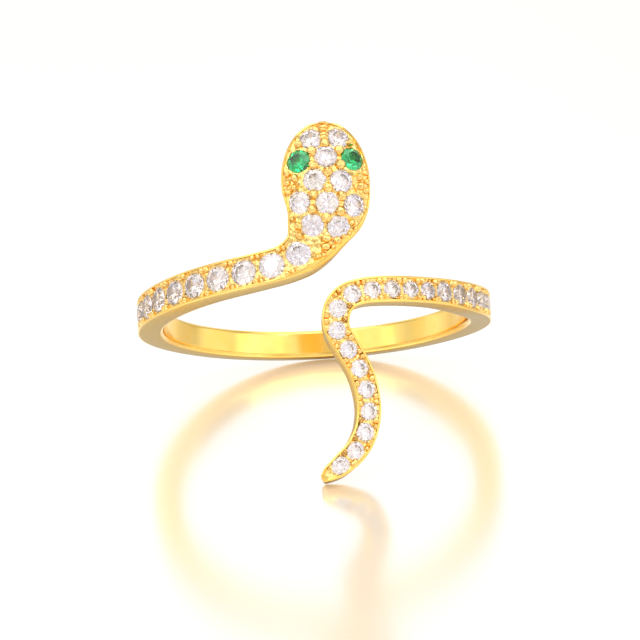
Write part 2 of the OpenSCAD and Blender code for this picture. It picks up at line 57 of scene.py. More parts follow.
# The band: one lost-wax casting of silver, tumbled, polished and plated with
# yellow gold. It wraps the finger once, from the domed head to the tail, and
# its front carries a sunk floor between two thin rims, bored with stone seats.
MM = 0.001
finger_hole = frame["record"]["mounts"][0]

# The ring rests on its tail and on the edge of its shank, so the finger hole
# leans back: its axis is the mount's, and aside stays level with the table
hole_axis = Vector(finger_hole["axis"]).normalized()
ring_back = Vector((0, hole_axis.z, -hole_axis.y)).normalized()
ring_right = ring_back.cross(hole_axis)
at_rest = Matrix((ring_right, ring_back, hole_axis)).transposed().to_4x4()

hole_r = finger_hole["dims"]["r_mm"]
hole_bevel = 0.12
end_ease = 0.2
ease_w = 0.4
shank_w = 1.6
shank_t = 1.0
front_t = 1.5
tail_t = 1.1
edge_round = 0.07
rim_w = 0.13
rim_h = 0.14
rim_lean = 0.02
rim_round = 0.035

head_side = 1.05
head_rise = 2.54
head_margin = 0.4
nose_margin = 0.35
head_dome = 0.65
neck_gap = 0.26
right_dip = 0.93
tail_drop = 11.5
tail_sway = 2.8
tail_end = 1.32

head_stone_d = 1.28
eye_d = 1.34
left_stone_d = 1.45
right_stone_d = 1.25
tail_stone_d = 1.05
head_gap = 0.18
left_gap = 0.23
tail_gap = 0.16
stone_margin = 0.07
LEFT_STONES = 9
RIGHT_STONES = 5
TAIL_STONES = 14

left_w = left_stone_d + 2 * (stone_margin + rim_w)
right_w = right_stone_d + 2 * (stone_margin + rim_w)
tail_w = tail_stone_d + 2 * (stone_margin + rim_w)
head_pitch = head_stone_d + head_gap
head_row = math.sqrt(head_pitch ** 2 - (head_pitch / 2) ** 2)
head_w = 3 * head_stone_d + 2 * head_gap + 2 * head_margin
head_top = head_rise + 4 * head_row + head_stone_d / 2 + nose_margin
face_r = hole_r + front_t
half_turn = math.pi * face_r
HEAD_WIDEST = 0.605
NOSE_STEPS = 9
NECK_LINE = 4

# Neck: aside of the head's middle, up and width, as shares of the head's
# width, the height of its top and its width
NECK = [
    (0.000, 0.512, 0.985),
    (-0.016, 0.448, 0.955),
    (-0.053, 0.378, 0.885),
    (-0.120, 0.293, 0.730),
    (-0.200, 0.215, 0.610),
    (-0.300, 0.151, 0.490),
    (-0.436, 0.105, 0.410),
    (-0.576, 0.079, 0.378),
]
# Left arm: share of the way from neck to back, share of the neck's height,
# shares of the change to the shank's width and thickness
LEFT_ARM = [
    (0.040, 0.74, 0.00, 0.00),
    (0.086, 0.55, 0.00, 0.00),
    (0.180, 0.32, 0.00, 0.00),
    (0.290, 0.11, 0.00, 0.00),
    (0.405, 0.06, 0.05, 0.00),
    (0.520, 0.03, 0.40, 0.06),
    (0.700, 0.00, 0.90, 0.60),
    (1.000, 0.00, 1.00, 1.00),
]
# Right arm: share of the way from back to turn, share of the dip, shares of
# the change to the arm's width, the front's thickness and the tail's width
RIGHT_ARM = [
    (0.280, 0.02, 0.10, 0.35, 0.0),
    (0.457, 0.10, 0.60, 0.95, 0.0),
    (0.600, 0.34, 1.00, 1.00, 0.0),
    (0.720, 0.62, 1.00, 1.00, 0.1),
    (0.860, 0.79, 1.00, 1.00, 0.9),
    (1.000, 1.00, 1.00, 1.00, 1.0),
]
TURN_SIDE = 1.264
# Turn and tail: aside as a share of the sway, share of the drop, share of the
# tail's width, share of the change to its thickness
TAIL = [
    (0.840, 0.020, 1.00, 0.00),
    (0.625, 0.050, 1.04, 0.00),
    (0.490, 0.094, 1.07, 0.00),
    (0.428, 0.152, 1.06, 0.05),
    (0.450, 0.213, 1.02, 0.15),
    (0.660, 0.315, 1.00, 0.40),
    (0.877, 0.415, 1.00, 0.65),
    (1.012, 0.526, 1.00, 0.85),
    (1.046, 0.636, 0.99, 1.00),
    (0.952, 0.745, 0.96, 1.00),
    (0.734, 0.841, 0.92, 1.00),
    (0.400, 0.918, 0.82, 1.00),
    (0.150, 0.960, 0.58, 1.00),
    (0.005, 0.988, 0.26, 1.00),
]

# The route on the unrolled face of the finger: aside, up, width, thickness
widest_up = HEAD_WIDEST * head_top
route = []
for step in range(1, NOSE_STEPS + 1):
    around = math.radians(90 * step / NOSE_STEPS)
    nose_up = widest_up + (head_top - widest_up) * math.cos(around)
    route.append(Vector((head_side, nose_up, head_w * math.sin(around), front_t)))
for aside, up, width in NECK:
    route.append(Vector((head_side + aside * head_w, up * head_top, width * head_w, front_t)))
neck_end = route[-1].copy()
first_arm_row = len(route)
for way, up, slimmer, thinner in LEFT_ARM:
    route.append(Vector((
        neck_end[0] - way * (neck_end[0] + half_turn),
        up * neck_end[1],
        left_w + slimmer * (shank_w - left_w),
        front_t + thinner * (shank_t - front_t),
    )))
turn_start = TURN_SIDE * tail_sway - 2 * half_turn
for way, dip, wider, thicker, slimmer in RIGHT_ARM:
    route.append(Vector((
        -half_turn + way * (turn_start + half_turn),
        -dip * right_dip,
        shank_w + wider * (right_w - shank_w) + slimmer * (tail_w - right_w),
        shank_t + thicker * (front_t - shank_t),
    )))
last_arm_row = len(route) - 2
for aside, drop, width, thinner in TAIL:
    route.append(Vector((
        aside * tail_sway - 2 * half_turn,
        -right_dip - drop * (tail_drop - right_dip),
        width * tail_w,
        front_t + thinner * (tail_t - front_t),
    )))


def gap_between(row, other):
    """Distance between two rows on the unrolled face."""
    return (other.xy - row.xy).length


def slope_at(i):
    """A row's change per millimetre between its two neighbours."""
    before = max(i - 1, 0)
    after = min(i + 1, len(route) - 1)
    travel = sum(gap_between(route[k], route[k + 1]) for k in range(before, after))
    return (route[after] - route[before]) / travel


def curve_at(i, t):
    """Smooth curve from row i to the next, at share t of the way."""
    span = gap_between(route[i], route[i + 1])
    return (
        (2 * t ** 3 - 3 * t ** 2 + 1) * route[i]
        + (t ** 3 - 2 * t ** 2 + t) * span * slope_at(i)
        + (3 * t ** 2 - 2 * t ** 3) * route[i + 1]
        + (t ** 3 - t ** 2) * span * slope_at(i + 1)
    )


# Lengths along the band are measured on its bends in steps of half a
# millimetre and on its arms in steps of one; the skin takes four times as many
BEND_STEP = 0.5
ARM_STEP = 1.0
FINER = 4
path = []
step_index = {}
for i in range(len(route) - 1):
    step_index[i] = len(path) // FINER
    step = ARM_STEP if first_arm_row <= i < last_arm_row else BEND_STEP
    steps = max(1, math.floor(gap_between(route[i], route[i + 1]) / step + 0.5)) * FINER
    path += [curve_at(i, k / steps) for k in range(steps)]
path.append(route[-1].copy())
path_s = [0.0]
for i in range(0, len(path) - 1, FINER):
    length = gap_between(path[i], path[i + FINER])
    path_s += [path_s[i] + length * k / FINER for k in range(1, FINER + 1)]
total_s = path_s[-1]


def spot_before(s):
    """Index of the last place of the path at or before a length, and the share on to the next."""
    i = max(k for k in range(len(path) - 1) if path_s[k] <= max(0.0, s))
    return i, (s - path_s[i]) / (path_s[i + 1] - path_s[i])


def row_at(s):
    """Aside, up, width and thickness at a length along the path."""
    i, t = spot_before(s)
    return path[i].lerp(path[i + 1], t)


def along_at(s):
    """Direction of the path at a length along it."""
    reach = 0.2
    way = row_at(min(total_s, s + reach)).xy - row_at(max(0.0, s - reach)).xy
    return way.normalized()


def across_at(s):
    """Direction square across the path at a length along it."""
    way = along_at(s)
    return Vector((-way.y, way.x))


def dome(row):
    """How far the head is domed: all of it where the head is widest, none on the arms."""
    return head_dome * max(0.0, (row[2] - left_w) / (head_w - left_w)) ** 1.5


def face_h(row, share):
    """Height of the face above the finger hole at a share of the half width."""
    return row[3] + dome(row) * (1 - share * share)


def eased(up):
    """How far the inner face is eased off the finger at a height along it."""
    beyond = (abs(up) - (shank_w / 2 - hole_bevel)) / ease_w
    return end_ease * min(1.0, max(0.0, beyond))


def wrapped(aside, up, h):
    """A place on the unrolled face, at height h, wrapped round the finger."""
    turn = aside / face_r
    return Vector(((hole_r + h) * math.sin(turn), -(hole_r + h) * math.cos(turn), up))


# Places of the stones along the path
left_start = path_s[step_index[NOSE_STEPS + NECK_LINE] * FINER] + neck_gap + left_stone_d / 2
left_s = [left_start + i * (left_stone_d + left_gap) for i in range(LEFT_STONES)]
tail_s = [
    total_s - tail_end - (TAIL_STONES - 1 - i) * (tail_stone_d + tail_gap)
    for i in range(TAIL_STONES)
]
right_end = tail_s[0] - (tail_stone_d + right_stone_d) / 2 - tail_gap
right_s = [
    right_end - (RIGHT_STONES - 1 - i) * (right_stone_d + tail_gap)
    for i in range(RIGHT_STONES)
]

# The sunk floor: it starts under the nose, runs down the left arm to a round
# end past its last stone, and again from the right arm to the tip of the tail
nose_floor_s = 0.5 * rim_w
tail_floor_s = total_s - 2 * rim_w
left_floor_s = left_s[-1] + left_w / 2 - rim_w
right_floor_s = right_s[0] - (right_w / 2 - rim_w)


def floor_depth(s):
    """Depth of the floor between the rims at a length along the path."""
    plain = left_floor_s < s < right_floor_s
    return 0.0 if plain or s < nose_floor_s or s > tail_floor_s else rim_h


PLAIN_TOP = 0.6
floor_end_w = 0.03
NOSE_FLOOR_END = 0.99


def floor_half(row, s):
    """Half the width of the sunk floor, or of the flat top where there is none."""
    inner = row[2] / 2 - rim_w
    if floor_depth(s) == 0:
        return PLAIN_TOP * row[2] / 2
    if left_s[-1] < s < right_s[0]:
        past = s - left_s[-1] if s <= left_floor_s else right_s[0] - s
        return max(floor_end_w, inner * math.sqrt(max(0.0, 1 - (past / inner) ** 2)))
    nose_t = min(NOSE_FLOOR_END, (row[1] - widest_up) / (head_top - rim_w - widest_up))
    if nose_t > 0:
        return (head_w / 2 - rim_w) * math.sqrt(1 - nose_t * nose_t)
    return inner


# The smooth band that is left beside the outer rim of the neck: how wide it is
# at each row of the neck
NECK_BAND = [0.0, 0.0, 0.10, 0.24, 0.30, 0.22, 0.08, 0.0]
neck_s = [path_s[step_index[NOSE_STEPS + k] * FINER] for k in range(len(NECK_BAND))]


def neck_band(s):
    """Width of the smooth band beside the neck's outer rim at a length along the path."""
    if not neck_s[0] <= s < neck_s[-1]:
        return 0.0
    k = max(i for i in range(len(neck_s) - 1) if neck_s[i] <= s)
    t = (s - neck_s[k]) / (neck_s[k + 1] - neck_s[k])
    return NECK_BAND[k] + t * (NECK_BAND[k + 1] - NECK_BAND[k])


# The section: spans over the finger hole and the floor, steps round a corner,
# how far the floor curves up to the rims, and the shares of the half width that
# the roundings of a narrow place take at most
HOLE_SPANS = 10
HALF_FLOOR = 6
CORNER_STEPS = 3
COVE = 0.5
COVE_POWER = 6
HOLE_ROUND_SHARE = 0.4
EDGE_SHARE = 0.3
RIM_ROUND_SHARE = 0.4
BAND_EDGE_SHARE = 0.4


def corner(centre, radius, start, end):
    """Places round a corner, from one angle in degrees to another."""
    turns = [math.radians(start + (end - start) * k / CORNER_STEPS) for k in range(CORNER_STEPS + 1)]
    return [(centre[0] + radius * math.cos(a), centre[1] + radius * math.sin(a)) for a in turns]


def band_section(s, smooth_band):
    """Half of the band's section at a length along it, from the middle of the floor round
    its outer edge and its side to the middle of the finger hole, as places across and
    heights; and the rounding of its edge at the hole."""
    row = row_at(s)
    half = row[2] / 2
    hole_round = min(hole_bevel, HOLE_ROUND_SHARE * half)
    edge = min(edge_round, EDGE_SHARE * half) + BAND_EDGE_SHARE * smooth_band
    depth = floor_depth(s)
    outer = floor_half(row, s) - smooth_band
    inner = outer - min(rim_lean, RIM_ROUND_SHARE * outer)
    rounding = EDGE_SHARE * edge
    if depth:
        rounding = min(rim_round, RIM_ROUND_SHARE * (half - edge - outer))
    rim_top = face_h(row, outer / half)
    places = []
    for k in range(HALF_FLOOR + 1):
        share = k / HALF_FLOOR
        x = inner * share
        places.append((x, face_h(row, x / half) - depth * (1 - COVE * share ** COVE_POWER)))
    places += corner((outer + rounding, rim_top - rounding), rounding, 180, 90)
    places += corner((half - edge, face_h(row, 1) - edge), edge, 90, 0)
    places += corner((half - hole_round, hole_round), hole_round, 0, -90)
    flat = half - hole_round
    for k in range(1, HOLE_SPANS // 2 + 1):
        places.append((flat * (1 - k / (HOLE_SPANS // 2)), 0.0))
    return places, hole_round


# The graver leaves the floor lumpy, and less so the inner edges of the rims.
# Nose and tail close with a round end
cut_lump = 0.32
cut_depth = 0.04
RIM_LUMP = 0.4
tip_round = 0.16
TIP_WIDTH = 0.55


def band_places(s):
    """The corners of the whole section at a length along the band, wrapped round the finger."""
    right, hole_round = band_section(s, neck_band(s))
    left = [(-x, h) for x, h in reversed(band_section(s, 0.0)[0][1:-1])]
    cut_corners = HALF_FLOOR + CORNER_STEPS if floor_depth(s) else 0
    row = row_at(s)
    side = across_at(s)
    from_end = min(s, total_s - s)
    pinch = 1.0
    if from_end < tip_round:
        pinch = TIP_WIDTH + (1 - TIP_WIDTH) * math.sqrt(1 - (1 - from_end / tip_round) ** 2)
    middle = row[3] / 2
    found = []
    corners = right + left
    for k, (x, h) in enumerate(corners):
        spot = row.xy + x * pinch * side
        from_middle = min(k, len(corners) - k)
        if from_middle < cut_corners:
            share = 1.0 if from_middle < HALF_FLOOR else RIM_LUMP
            h += share * cut_depth * noise.noise((spot / cut_lump).to_3d())
        if h <= hole_round:
            h += eased(spot.y)
        found.append(wrapped(spot.x, spot.y, middle + (h - middle) * pinch))
    return found


# The skin's sections: those of the path, closer ones where the floor ends round
# on the arms and at the tips, and a pair at each step of the floor
ROUND_END = [0.0, 0.3, 0.5, 0.65, 0.78, 0.87, 0.93, 0.97, 0.99]
NEAR_TIP = [0.1, 0.25, 0.5, 0.8]
end_step = 0.02
plain_gap = 0.1
half_step = 0.01
left_round = [left_s[-1] + t * (left_floor_s - left_s[-1]) for t in ROUND_END]
right_round = [right_s[0] + t * (right_floor_s - right_s[0]) for t in ROUND_END]
near_tip = [tip_round * t for t in NEAR_TIP]
section_s = [s for s in path_s if s < left_round[0] - end_step]
section_s += left_round + [left_floor_s + end_step]
section_s += [s for s in path_s if left_floor_s + plain_gap < s < right_floor_s - plain_gap]
section_s += [right_floor_s - end_step] + right_round
section_s += [s for s in path_s if s > right_round[0] + end_step]
section_s += near_tip + [total_s - s for s in near_tip]
for step_s in (nose_floor_s, tail_floor_s):
    section_s += [step_s - half_step, step_s + half_step]
section_s = sorted(section_s)

POLISHED = 0
SETTING = 1
WALL = 2
SEAT = 3
rounds = [band_places(s) for s in section_s]
girth = len(rounds[0])
floor_corners = HALF_FLOOR + CORNER_STEPS
wall_top = HALF_FLOOR + 2 * (CORNER_STEPS + 1)
weld = 0.0005

# A flat strip, as long as the band and as wide as its girth, is wrapped round
# the finger and closed along its seam
band = bmesh.new()
bmesh.ops.create_grid(band, x_segments=len(rounds) - 1, y_segments=girth, size=1)
for vert in band.verts:
    i = round((vert.co.x + 1) / 2 * (len(rounds) - 1))
    k = round((vert.co.y + 1) / 2 * girth)
    vert.co = rounds[i][k % girth]
    vert.index = i * (girth + 1) + k
for face in band.faces:
    corners = [vert.index % (girth + 1) for vert in face.verts]
    lengths = [section_s[vert.index // (girth + 1)] for vert in face.verts]
    on_floor = max(corners) <= floor_corners or min(corners) >= girth - floor_corners
    on_wall = {min(corners), max(corners)} in (
        {wall_top, wall_top + 1}, {girth - wall_top - 1, girth - wall_top}
    )
    if on_floor and floor_depth(sum(lengths) / 4):
        face.material_index = SETTING
    elif on_wall:
        face.material_index = WALL
    else:
        face.material_index = POLISHED
bmesh.ops.remove_doubles(band, verts=band.verts, dist=weld)
ends = [edge for edge in band.edges if edge.is_boundary]
bmesh.ops.holes_fill(band, edges=ends, sides=0)
bmesh.ops.recalc_face_normals(band, faces=band.faces)

# Head stones: five rows, two and three in turn. Each row has its stones, its
# shift to the left, its fall to the right and its own pitch
HEAD_ROWS = [
    (2, 0.12, 0.11, 1.00),
    (3, 0.03, 0.08, 1.06),
    (2, -0.04, 0.06, 1.00),
    (3, 0.00, -0.02, 1.04),
    (2, -0.01, -0.01, 1.04),
]
BROW = 0.13
EYE_ROW = 3


def head_place(row, i):
    """Place of a stone of the head on the unrolled face, and its diameter."""
    stones, shift, fall, pitch = HEAD_ROWS[row]
    sideways = (i - (stones - 1) / 2) * head_pitch * pitch
    aside = head_side + sideways - shift * head_pitch
    up = head_rise + row * head_row - fall * sideways
    if row != EYE_ROW:
        return Vector((aside, up)), head_stone_d
    if i == 1:
        return Vector((aside, up + BROW * head_row)), head_stone_d
    return Vector((aside, up)), eye_d


head_end_s = path_s[step_index[NOSE_STEPS + len(NECK)] * FINER]
HEAD_LINES = 160


def head_h(spot):
    """Height of the head's face at a place, from the section whose line across passes it."""
    near = min(
        (head_end_s * k / HEAD_LINES for k in range(HEAD_LINES + 1)),
        key=lambda s: abs((spot - row_at(s).xy) @ along_at(s)),
    )
    row = row_at(near)
    share = (spot - row.xy) @ across_at(near) / (row[2] / 2)
    return face_h(row, share)


def stand_at(spot, height, lean, sink):
    """A frame on the face at a place, with +Z out of the metal, sunk below it."""
    turn = spot.x / face_r
    out = Vector((math.sin(turn), -math.cos(turn), 0))
    side = Vector((math.cos(turn), math.sin(turn), 0))
    z = (out - lean[0] * side - lean[1] * Vector((0, 0, 1))).normalized()
    x = (side - (side @ z) * z).normalized()
    y = z.cross(x)
    place = wrapped(spot.x, spot.y, height) - sink * z
    return Matrix.Translation(place) @ Matrix((x, y, z)).transposed().to_4x4()


slope_step = 0.4


def on_head(spot, sink):
    """A frame on the domed face of the head."""
    right = Vector((slope_step, 0))
    up = Vector((0, slope_step))
    lean = (
        (head_h(spot + right) - head_h(spot - right)) / (2 * slope_step),
        (head_h(spot + up) - head_h(spot - up)) / (2 * slope_step),
    )
    return stand_at(spot, head_h(spot), lean, sink)


def on_arm(spot, s, sink):
    """A frame on the face of an arm or the tail."""
    return stand_at(spot, row_at(s)[3], (0.0, 0.0), sink)


# Seats: cut with a stone bur, so that the floor closes over the stone's edge.
# Depths below the girdle and heights above it are shares of the stone's diameter
girdle_sink = 0.05
seat_gap = 0.012
PAVILION = 0.42
GIRDLE = 0.03
CROWN = 0.15
TABLE = 0.57
SEAT_SIDES = 32
TABLE_CORNERS = 8
stone_sink = rim_h + girdle_sink
seats = bmesh.new()
to_ring = at_rest.inverted() @ Matrix.Scale(1 / MM, 4)
stone_corners = {
    name: {(to_ring @ vert.co).to_tuple(4) for vert in node.data.vertices}
    for name, node in frame["nodes"].items()
    if name.endswith("_eye") or "stone" in name
}


def stone_near(place, d):
    """The frame of the model's own stone at a place: at its girdle, with +Z to its table."""
    out = place.to_3x3().col[2]
    corners = min(
        stone_corners.values(),
        key=lambda found: (sum(map(Vector, found), Vector()) / len(found) - place.translation).length,
    )
    ranked = sorted(map(Vector, corners), key=lambda corner: corner @ out)
    culet = ranked[0]
    table = sum(ranked[-TABLE_CORNERS:], Vector()) / TABLE_CORNERS
    axis = (table - culet).normalized()
    girdle = culet + PAVILION * d * axis
    return Matrix.Translation(girdle) @ axis.to_track_quat("Z", "Y").to_matrix().to_4x4()


def drill_seat(place, d):
    """Turns the bur's profile round and sets it in its place, with +Z out of the metal."""
    wide = d / 2 + seat_gap
    profile = [
        (0.0, -PAVILION * d - 1.5 * seat_gap),
        (wide, -seat_gap / 2),
        (wide, GIRDLE * d),
        (TABLE * d / 2 + seat_gap, (GIRDLE + CROWN) * d + seat_gap),
        (0.0, (GIRDLE + CROWN) * d + seat_gap),
    ]
    bur = bmesh.new()
    corners = [bur.verts.new((x, 0, z)) for x, z in profile]
    edges = [bur.edges.new(pair) for pair in zip(corners, corners[1:])]
    bmesh.ops.spin(
        bur, geom=corners + edges, cent=(0, 0, 0), axis=(0, 0, 1), angle=2 * math.pi,
        steps=SEAT_SIDES, use_merge=True,
    )
    bmesh.ops.remove_doubles(bur, verts=bur.verts, dist=weld)
    bmesh.ops.recalc_face_normals(bur, faces=bur.faces)
    for face in bur.faces:
        face.material_index = SEAT
        face.smooth = True
    bur.transform(stone_near(place, d))
    drawn = bpy.data.meshes.new("bur")
    bur.to_mesh(drawn)
    bur.free()
    seats.from_mesh(drawn)
    bpy.data.meshes.remove(drawn)


arm_stones = [(s, left_stone_d) for s in left_s]
run_stones = [(s, right_stone_d) for s in right_s] + [(s, tail_stone_d) for s in tail_s]
for s, d in arm_stones + run_stones:
    drill_seat(on_arm(row_at(s).xy, s, stone_sink), d)
for row in range(len(HEAD_ROWS)):
    for i in range(HEAD_ROWS[row][0]):
        spot, d = head_place(row, i)
        drill_seat(on_head(spot, stone_sink), d)

# Beads: raised from the floor with a graver and rounded over the stones' edges
bead_d = 0.3
head_bead_d = 0.48
bead_h = 0.27
BEAD_SPREAD = 0.66
BEAD_ROOT = 0.1
BEAD_SIDES = 14
BEAD_RINGS = 10
beads = bmesh.new()


def raise_bead(place, d, breadth=1.0):
    """A rounded bead or ridge, rooted in the floor, with its top at the height of the beads."""
    made = bmesh.ops.create_uvsphere(beads, u_segments=BEAD_SIDES, v_segments=BEAD_RINGS, radius=1)
    tall = bead_h * math.sqrt(d / bead_d)
    wide = BEAD_SPREAD * d
    size = Matrix.Diagonal((wide * breadth, wide / breadth, tall * (1 + BEAD_ROOT), 1))
    root = Matrix.Translation((0, 0, -BEAD_ROOT * tall))
    bmesh.ops.transform(beads, matrix=place @ root @ size, verts=made["verts"])
    for vert in made["verts"]:
        for face in vert.link_faces:
            face.material_index = SETTING
            face.smooth = True


BEAD_INSET = 0.42
BEAD_GRIP = 0.55
pair_gap = 0.02


def bead_group(one, other):
    """Four beads between two stones, a pair beside each rim; one where a bend leaves no room."""
    s = (one[0] + other[0]) / 2
    middle = row_at(s)
    reach = middle[2] / 2 - rim_w - BEAD_INSET * bead_d
    spread = (bead_d + pair_gap) / 2
    for side in (-1, 1):
        for shift, (stone_s, d) in ((-1, one), (1, other)):
            pair = middle.xy + side * reach * across_at(s)
            room = (pair + shift * spread * along_at(s) - row_at(stone_s).xy).length
            if room <= (d + BEAD_GRIP * bead_d) / 2:
                shift = 0
            spot = pair + shift * spread * along_at(s)
            raise_bead(on_arm(spot, s, rim_h), bead_d)


for stones in (arm_stones, run_stones):
    for one, other in zip(stones, stones[1:]):
        bead_group(one, other)
for row in range(len(HEAD_ROWS) - 1):
    wide, slim = (row, row + 1) if HEAD_ROWS[row][0] == 3 else (row + 1, row)
    for a, b, c in (
        ((wide, 0), (wide, 1), (slim, 0)),
        ((wide, 1), (wide, 2), (slim, 1)),
        ((wide, 1), (slim, 0), (slim, 1)),
    ):
        spot = (head_place(*a)[0] + head_place(*b)[0] + head_place(*c)[0]) / 3
        raise_bead(on_head(spot, rim_h), head_bead_d)

# Beads at the sides of the rows of two, droplets in the corner of the neck and
# ridges up the nose: row, aside of its middle as a share of the pitch, up as a
# share of the row's spacing, share of the diameter, breadth to height
EDGE_BEADS = [
    (0, -1.03, 0.10, 0.80, 1.0),
    (0, -0.98, -0.32, 0.80, 1.0),
    (0, -1.22, 0.42, 0.60, 1.0),
    (0, 1.00, 0.16, 0.75, 1.0),
    (0, 1.14, -0.12, 0.60, 1.0),
    (0, 0.90, -0.30, 0.55, 1.0),
    (0, 0.02, -0.55, 0.85, 1.3),
    (0, 0.45, -0.62, 0.85, 1.0),
    (0, 0.66, -0.44, 0.55, 1.0),
    (0, -0.02, -0.88, 0.85, 1.1),
    (0, 0.26, -0.90, 0.60, 1.0),
    (0, -0.34, -1.30, 0.80, 1.2),
    (0, -0.10, -1.22, 0.60, 1.0),
    (2, -1.22, 0.20, 0.80, 1.0),
    (2, -1.25, -0.22, 0.80, 1.0),
    (2, -1.50, 0.40, 0.60, 1.2),
    (2, -1.53, 0.02, 0.60, 1.2),
    (2, -1.48, -0.40, 0.60, 1.2),
    (2, 1.22, 0.20, 0.80, 1.0),
    (2, 1.25, -0.22, 0.80, 1.0),
    (2, 1.50, 0.40, 0.60, 1.2),
    (2, 1.53, 0.02, 0.60, 1.2),
    (2, 1.48, -0.40, 0.60, 1.2),
    (4, -0.98, -0.24, 0.75, 1.1),
    (4, 0.98, -0.24, 0.75, 1.1),
    (4, 0.00, -0.20, 0.70, 1.3),
    (4, 0.00, -0.02, 0.70, 1.3),
    (4, 0.00, 0.16, 0.70, 1.4),
    (4, 0.00, 0.34, 0.70, 1.5),
    (4, 0.00, 0.51, 0.70, 1.5),
    (4, 0.00, 0.68, 0.70, 1.6),
]
for row, aside, up, share, breadth in EDGE_BEADS:
    spot = Vector((
        head_place(row, 0)[0].x + (aside + 0.5) * head_pitch,
        head_rise + (row + up) * head_row,
    ))
    raise_bead(on_head(spot, rim_h), share * head_bead_d, breadth)


def linear(hex_colour):
    """An sRGB hex colour as the linear colour that a material takes."""
    shares = [int(hex_colour[i:i + 2], 16) / 255 for i in (1, 3, 5)]
    return tuple(c / 12.92 if c <= 0.04045 else ((c + 0.055) / 1.055) ** 2.4 for c in shares) + (1.0,)


def add_node(material, kind, settings=(), links=()):
    """Adds a node to a material, with its settings and the sockets that feed it."""
    node = material.node_tree.nodes.new(kind)
    for name, value in dict(settings).items():
        if hasattr(node, name):
            setattr(node, name, value)
        else:
            node.inputs[name].default_value = value
    for name, source in dict(links).items():
        material.node_tree.links.new(source, node.inputs[name])
    return node


def new_material(name):
    """An empty material with its output and shader."""
    material = bpy.data.materials.new(name)
    material.use_nodes = True
    return material, material.node_tree.nodes["Principled BSDF"]


# Yellow gold plate over polished silver: mirror bright, with the soft waves of
# a hand-held buff about 1.5 mm across
buff_wave = 1.5 * MM
polished_gold, shader = new_material("yellow_gold_plate_polished")
shader.inputs["Metallic"].default_value = 1.0
shader.inputs["Roughness"].default_value = 0.15
place = add_node(polished_gold, "ShaderNodeTexCoord")
waves = add_node(
    polished_gold, "ShaderNodeTexNoise", {"Scale": 1 / buff_wave, "Detail": 3.0},
    {"Vector": place.outputs["Object"]},
)
tone = add_node(polished_gold, "ShaderNodeValToRGB", links={"Fac": waves.outputs["Fac"]})
tone.color_ramp.elements[0].color = linear("#FFD26C")
tone.color_ramp.elements[1].color = linear("#FFD97C")
tone.color_ramp.elements[0].position = 0.35
tone.color_ramp.elements[1].position = 0.65
polished_gold.node_tree.links.new(tone.outputs["Color"], shader.inputs["Base Color"])
lift = add_node(
    polished_gold, "ShaderNodeBump", {"Strength": 0.2, "Distance": 0.02 * MM},
    {"Height": waves.outputs["Fac"]},
)
polished_gold.node_tree.links.new(lift.outputs["Normal"], shader.inputs["Normal"])

# The same plate in the setting, which no buff reaches: a graver's cuts about
# 0.3 mm apart leave small bright lumps, with cast grain of 0.1 mm on them
graver_cut = 0.3 * MM
cast_grain = 0.1 * MM
set_gold, shader = new_material("yellow_gold_plate_in_setting")
shader.inputs["Metallic"].default_value = 1.0
shader.inputs["Roughness"].default_value = 0.14
place = add_node(set_gold, "ShaderNodeTexCoord")
cuts = add_node(
    set_gold, "ShaderNodeTexVoronoi",
    {"feature": "SMOOTH_F1", "Scale": 1 / graver_cut, "Smoothness": 0.4},
    {"Vector": place.outputs["Object"]},
)
grain = add_node(
    set_gold, "ShaderNodeTexNoise", {"Scale": 1 / cast_grain, "Detail": 2.0},
    {"Vector": place.outputs["Object"]},
)
tone = add_node(set_gold, "ShaderNodeValToRGB", links={"Fac": grain.outputs["Fac"]})
tone.color_ramp.elements[0].color = linear("#F7C86E")
tone.color_ramp.elements[1].color = linear("#FDD88E")
set_gold.node_tree.links.new(tone.outputs["Color"], shader.inputs["Base Color"])
grain_lift = add_node(
    set_gold, "ShaderNodeBump", {"Strength": 0.1, "Distance": 0.02 * MM},
    {"Height": grain.outputs["Fac"]},
)
lift = add_node(
    set_gold, "ShaderNodeBump", {"Strength": 1.0, "Distance": 0.12 * MM, "invert": True},
    {"Height": cuts.outputs["Distance"], "Normal": grain_lift.outputs["Normal"]},
)
set_gold.node_tree.links.new(lift.outputs["Normal"], shader.inputs["Normal"])

# The same plate on the side walls, rubbed flat on fine paper before plating:
# satin, with marks about 0.2 mm apart, and painted shade that dulls them to khaki
rub_mark = 0.2 * MM
satin_gold_painted_shade, shader = new_material("yellow_gold_plate_satin_painted_shade")
shader.inputs["Metallic"].default_value = 1.0
shader.inputs["Roughness"].default_value = 0.24
# painted shade: the grey specular tint dulls the walls' grazing reflection to khaki, for the shaded
# table that they mirror
shader.inputs["Specular Tint"].default_value = linear("#BCC2C8")
place = add_node(satin_gold_painted_shade, "ShaderNodeTexCoord")
rubs = add_node(
    satin_gold_painted_shade, "ShaderNodeTexNoise", {"Scale": 1 / rub_mark, "Detail": 2.0},
    {"Vector": place.outputs["Object"]},
)
tone = add_node(satin_gold_painted_shade, "ShaderNodeValToRGB", links={"Fac": rubs.outputs["Fac"]})
tone.color_ramp.elements[0].color = linear("#FFD47A")
tone.color_ramp.elements[1].color = linear("#FFDC8C")
satin_gold_painted_shade.node_tree.links.new(tone.outputs["Color"], shader.inputs["Base Color"])
lift = add_node(
    satin_gold_painted_shade, "ShaderNodeBump", {"Strength": 0.2, "Distance": 0.01 * MM},
    {"Height": rubs.outputs["Fac"]},
)
satin_gold_painted_shade.node_tree.links.new(lift.outputs["Normal"], shader.inputs["Normal"])
